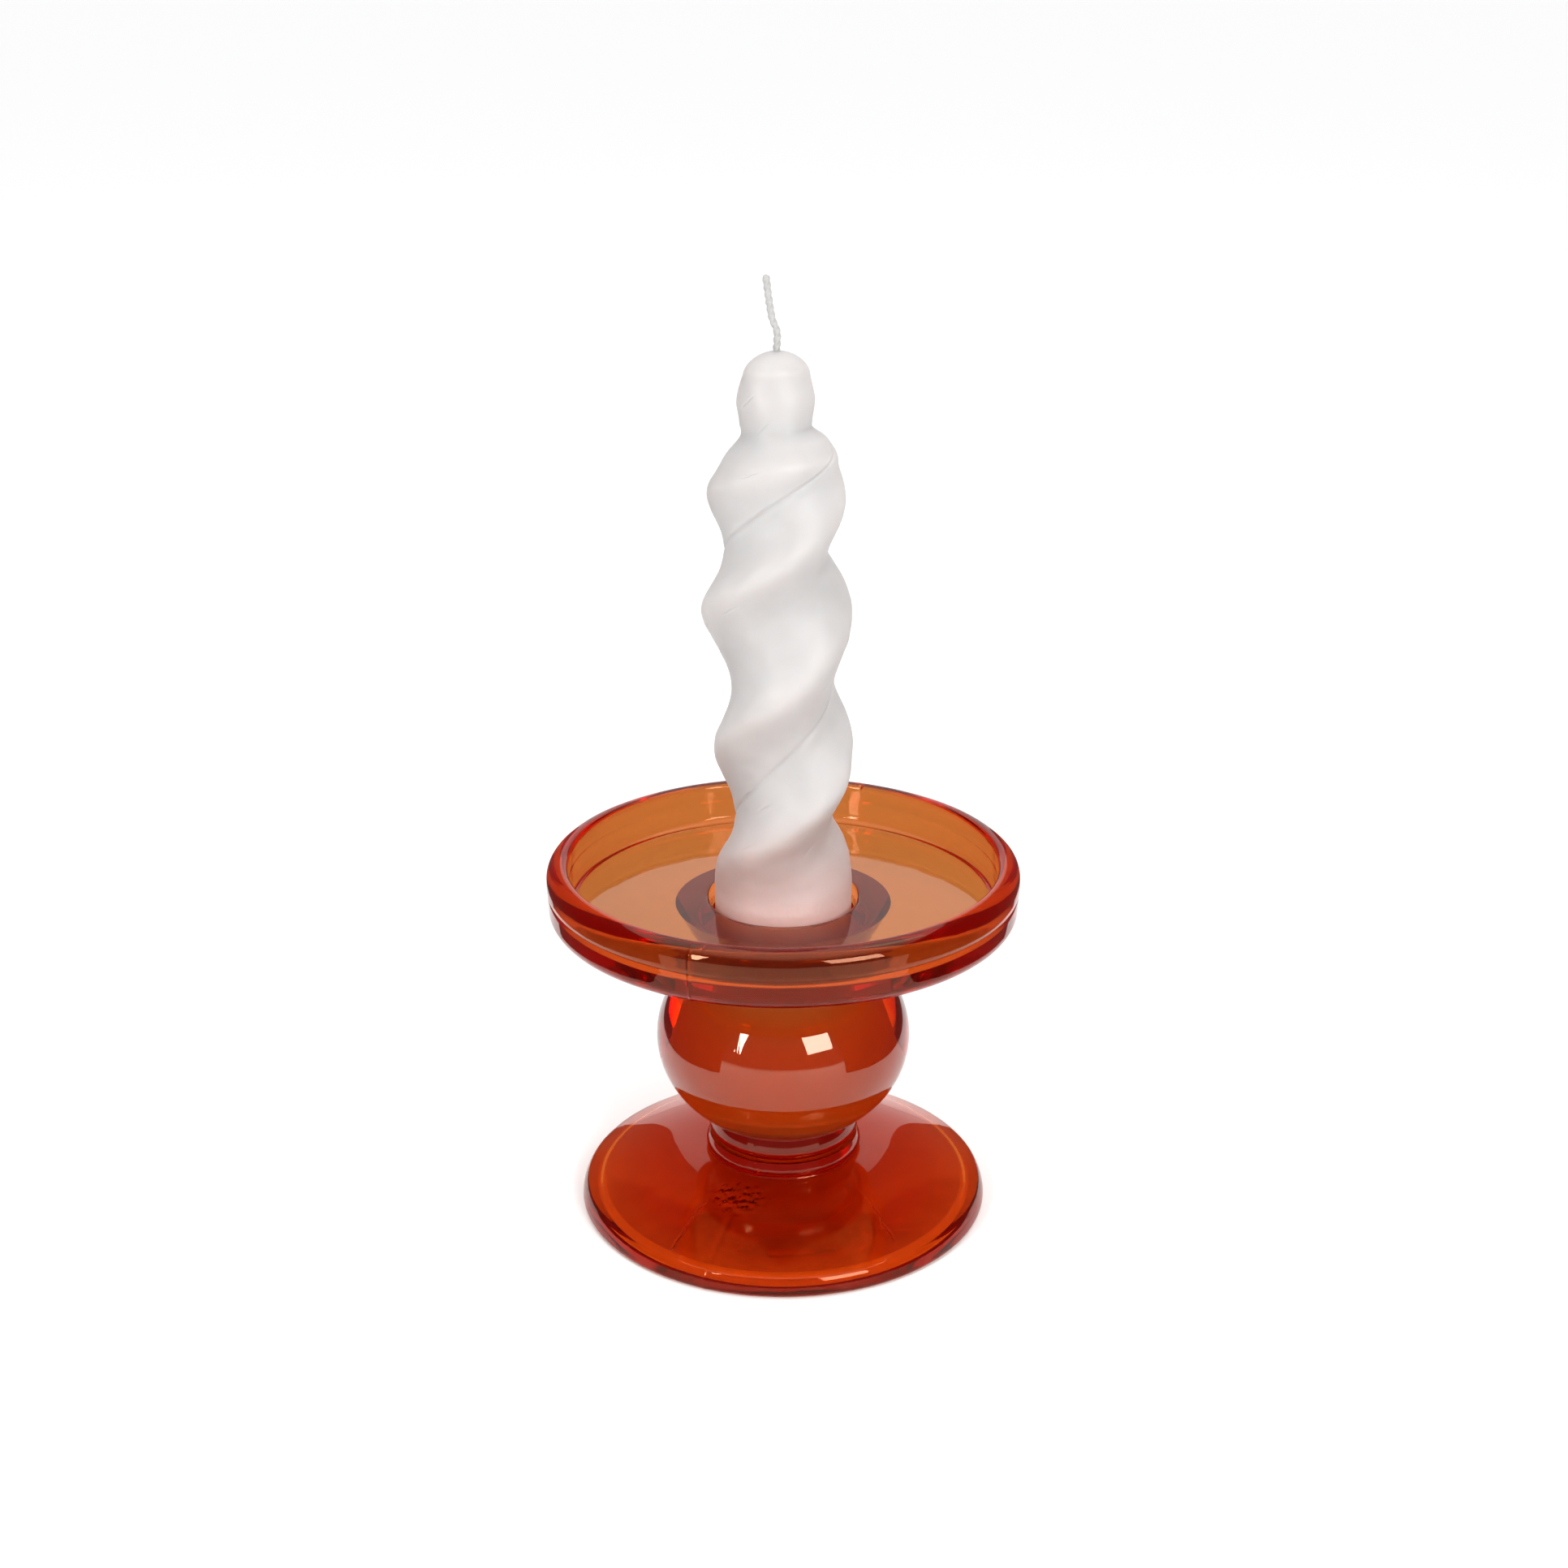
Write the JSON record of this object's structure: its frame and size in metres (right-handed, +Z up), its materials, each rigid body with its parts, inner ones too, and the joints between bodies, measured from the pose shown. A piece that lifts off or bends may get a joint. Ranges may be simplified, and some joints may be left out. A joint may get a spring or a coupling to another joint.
{
  "type": "candlestick",
  "caption": "Glass candlestick: round drip tray on a flattened ball stem, ringed collar and domed foot, with a twisted white candle in its socket.",
  "frame": {"origin": "centre of the foot's resting ring, on the table", "axes": "+Z up along the stem's axis, towards the candle; the candle's tip leans towards -X"},
  "size_m": [0.078, 0.078, 0.1559],
  "materials": {
    "amber_glass": "clear pressed glass, orange-red all through",
    "white_wax": "smooth white candle wax",
    "cotton_wick": "waxed braided cotton"
  },
  "bodies": {
    "candlestick": {"drip_tray": "amber_glass", "tray_neck": "amber_glass", "ball_stem": "amber_glass", "collar_ring": "amber_glass", "base_ring": "amber_glass", "domed_foot": "amber_glass"},
    "candle": {"candle_wax": "white_wax", "candle_wick": "cotton_wick"}
  },
  "joints": [
    {"name": "candle_lift", "type": "slide", "parent": "candlestick", "child": "candle", "axis": [0, 0, 1], "range_m": [0, 0.045]}
  ]
}
